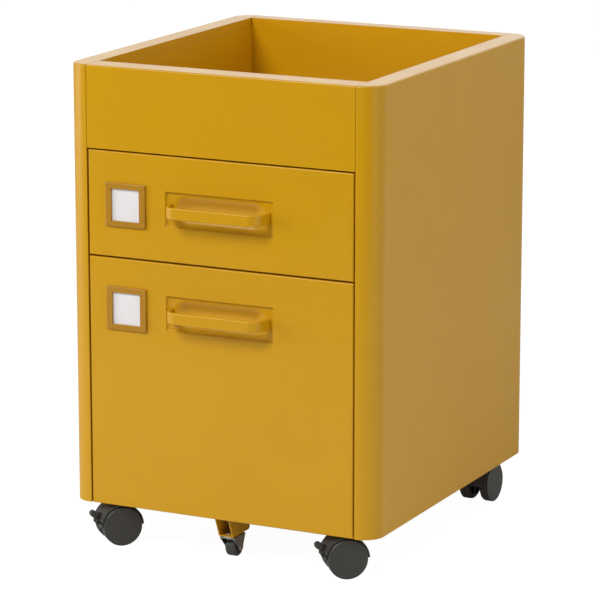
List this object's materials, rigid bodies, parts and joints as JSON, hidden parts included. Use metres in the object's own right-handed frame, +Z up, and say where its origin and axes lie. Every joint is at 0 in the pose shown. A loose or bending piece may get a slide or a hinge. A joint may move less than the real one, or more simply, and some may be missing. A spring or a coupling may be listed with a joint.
{
  "type": "mobile drawer cabinet",
  "caption": "Steel desk-side cabinet on casters with an open tray on top, a shallow drawer and a deep drawer with recessed bow pulls and label holders",
  "frame": {"origin": "on the floor under the middle of the cabinet's bounding box, drawers closed", "axes": "+X is the cabinet's right side as seen by a user in front of it, -Y is the front with the drawers, +Z is up"},
  "size_m": [0.42, 0.495, 0.61],
  "materials": {
    "body_paint": "golden yellow powder coat, satin, very fine texture",
    "zinc_steel": "bright zinc-plated steel, slightly cloudy",
    "black_nylon": "black moulded nylon, semi-matt",
    "ochre_plastic": "moulded plastic in a darker ochre, semi-matt",
    "label_card": "plain white card"
  },
  "bodies": {
    "cabinet": {"side_panel_left": "body_paint", "side_panel_right": "body_paint", "back_panel": "body_paint", "front_fascia": "body_paint", "compartment_tray": "body_paint", "base_plate": "body_paint", "front_uprights": "zinc_steel", "rear_uprights": "zinc_steel", "upper_outer_rails": "zinc_steel", "lower_outer_rails": "zinc_steel", "rail_screws": "zinc_steel", "caster_pads": "zinc_steel", "caster_stems": "zinc_steel", "caster_nuts": "zinc_steel"},
    "upper_drawer": {"upper_drawer_box": "body_paint", "upper_drawer_front": "body_paint", "upper_front_liner": "body_paint", "upper_handle_recess": "body_paint", "upper_pull": "body_paint", "upper_label_frame": "ochre_plastic", "upper_label_card": "label_card", "upper_inner_rails": "zinc_steel", "upper_drawer_screws": "zinc_steel"},
    "lower_drawer": {"lower_drawer_box": "body_paint", "lower_drawer_front": "body_paint", "lower_front_liner": "body_paint", "lower_handle_recess": "body_paint", "lower_pull": "body_paint", "lower_label_frame": "ochre_plastic", "lower_label_card": "label_card", "lower_inner_rails": "zinc_steel", "lower_drawer_screws": "zinc_steel", "support_hanger": "body_paint", "support_bracket": "body_paint", "support_rivets": "body_paint", "support_kingpin": "zinc_steel"},
    "upper_slide_middle": {"upper_middle_rails": "zinc_steel"},
    "upper_outer_ball_cage": {"upper_outer_cages": "zinc_steel"},
    "upper_inner_ball_cage": {"upper_inner_cages": "zinc_steel"},
    "lower_slide_middle": {"lower_middle_rails": "zinc_steel"},
    "lower_outer_ball_cage": {"lower_outer_cages": "zinc_steel"},
    "lower_inner_ball_cage": {"lower_inner_cages": "zinc_steel"},
    "support_caster": {"support_fork": "zinc_steel", "support_axle": "zinc_steel"},
    "support_roller": {"support_wheel": "black_nylon"},
    "front_left_caster": {"front_left_hood": "black_nylon"},
    "front_left_wheel_pair": {"front_left_wheels": "black_nylon", "front_left_axle": "zinc_steel"},
    "front_left_brake_lever": {"front_left_brake": "black_nylon"},
    "front_right_caster": {"front_right_hood": "black_nylon"},
    "front_right_wheel_pair": {"front_right_wheels": "black_nylon", "front_right_axle": "zinc_steel"},
    "front_right_brake_lever": {"front_right_brake": "black_nylon"},
    "rear_left_caster": {"rear_left_hood": "black_nylon"},
    "rear_left_wheel_pair": {"rear_left_wheels": "black_nylon", "rear_left_axle": "zinc_steel"},
    "rear_right_caster": {"rear_right_hood": "black_nylon"},
    "rear_right_wheel_pair": {"rear_right_wheels": "black_nylon", "rear_right_axle": "zinc_steel"}
  },
  "joints": [
    {"name": "upper_drawer_slide", "type": "slide", "parent": "cabinet", "child": "upper_drawer", "axis": [0, -1, 0], "range_m": [0, 0.33]},
    {"name": "upper_slide_middle_travel", "type": "slide", "parent": "cabinet", "child": "upper_slide_middle", "axis": [0, -1, 0], "range_m": [0, 0.165]},
    {"name": "upper_outer_ball_cage_travel", "type": "slide", "parent": "cabinet", "child": "upper_outer_ball_cage", "axis": [0, -1, 0], "range_m": [0, 0.0825]},
    {"name": "upper_inner_ball_cage_travel", "type": "slide", "parent": "cabinet", "child": "upper_inner_ball_cage", "axis": [0, -1, 0], "range_m": [0, 0.2475]},
    {"name": "lower_drawer_slide", "type": "slide", "parent": "cabinet", "child": "lower_drawer", "axis": [0, -1, 0], "range_m": [0, 0.4]},
    {"name": "lower_slide_middle_travel", "type": "slide", "parent": "cabinet", "child": "lower_slide_middle", "axis": [0, -1, 0], "range_m": [0, 0.2]},
    {"name": "lower_outer_ball_cage_travel", "type": "slide", "parent": "cabinet", "child": "lower_outer_ball_cage", "axis": [0, -1, 0], "range_m": [0, 0.1]},
    {"name": "lower_inner_ball_cage_travel", "type": "slide", "parent": "cabinet", "child": "lower_inner_ball_cage", "axis": [0, -1, 0], "range_m": [0, 0.3]},
    {"name": "front_left_swivel", "type": "hinge", "parent": "cabinet", "child": "front_left_caster", "pos_m": [-0.152, -0.1925, 0.045], "axis": [0, 0, 1], "continuous": true},
    {"name": "front_left_wheel_spin", "type": "hinge", "parent": "front_left_caster", "child": "front_left_wheel_pair", "pos_m": [-0.15752, -0.19829, 0.025], "axis": [0.7242, -0.6896, 0], "continuous": true},
    {"name": "front_left_brake", "type": "hinge", "parent": "front_left_caster", "child": "front_left_brake_lever", "pos_m": [-0.17579, -0.21748, 0.03], "axis": [0.7242, -0.6896, 0], "range_deg": [0, 15]},
    {"name": "front_right_swivel", "type": "hinge", "parent": "cabinet", "child": "front_right_caster", "pos_m": [0.164, -0.1925, 0.045], "axis": [0, 0, 1], "continuous": true},
    {"name": "front_right_wheel_spin", "type": "hinge", "parent": "front_right_caster", "child": "front_right_wheel_pair", "pos_m": [0.15778, -0.19753, 0.025], "axis": [0.6293, -0.7771, 0], "continuous": true},
    {"name": "front_right_brake", "type": "hinge", "parent": "front_right_caster", "child": "front_right_brake_lever", "pos_m": [0.13719, -0.21421, 0.03], "axis": [0.6293, -0.7771, 0], "range_deg": [0, 15]},
    {"name": "rear_left_swivel", "type": "hinge", "parent": "cabinet", "child": "rear_left_caster", "pos_m": [-0.177, 0.1875, 0.045], "axis": [0, 0, 1], "continuous": true},
    {"name": "rear_left_wheel_spin", "type": "hinge", "parent": "rear_left_caster", "child": "rear_left_wheel_pair", "pos_m": [-0.18025, 0.18019, 0.025], "axis": [0.9135, -0.4067, 0], "continuous": true},
    {"name": "rear_right_swivel", "type": "hinge", "parent": "cabinet", "child": "rear_right_caster", "pos_m": [0.177, 0.1875, 0.045], "axis": [0, 0, 1], "continuous": true},
    {"name": "rear_right_wheel_spin", "type": "hinge", "parent": "rear_right_caster", "child": "rear_right_wheel_pair", "pos_m": [0.17686, 0.1795, 0.025], "axis": [0.9998, -0.0175, 0], "continuous": true},
    {"name": "support_swivel", "type": "hinge", "parent": "lower_drawer", "child": "support_caster", "pos_m": [0, -0.1985, 0.0274], "axis": [0, 0, 1], "continuous": true},
    {"name": "support_wheel_spin", "type": "hinge", "parent": "support_caster", "child": "support_roller", "pos_m": [0, -0.1855, 0.0125], "axis": [1, 0, 0], "continuous": true}
  ],
  "couplings": [
    {"joint": "upper_slide_middle_travel", "follows": "upper_drawer_slide", "ratio": 0.5},
    {"joint": "upper_outer_ball_cage_travel", "follows": "upper_drawer_slide", "ratio": 0.25},
    {"joint": "upper_inner_ball_cage_travel", "follows": "upper_drawer_slide", "ratio": 0.75},
    {"joint": "lower_slide_middle_travel", "follows": "lower_drawer_slide", "ratio": 0.5},
    {"joint": "lower_outer_ball_cage_travel", "follows": "lower_drawer_slide", "ratio": 0.25},
    {"joint": "lower_inner_ball_cage_travel", "follows": "lower_drawer_slide", "ratio": 0.75}
  ]
}
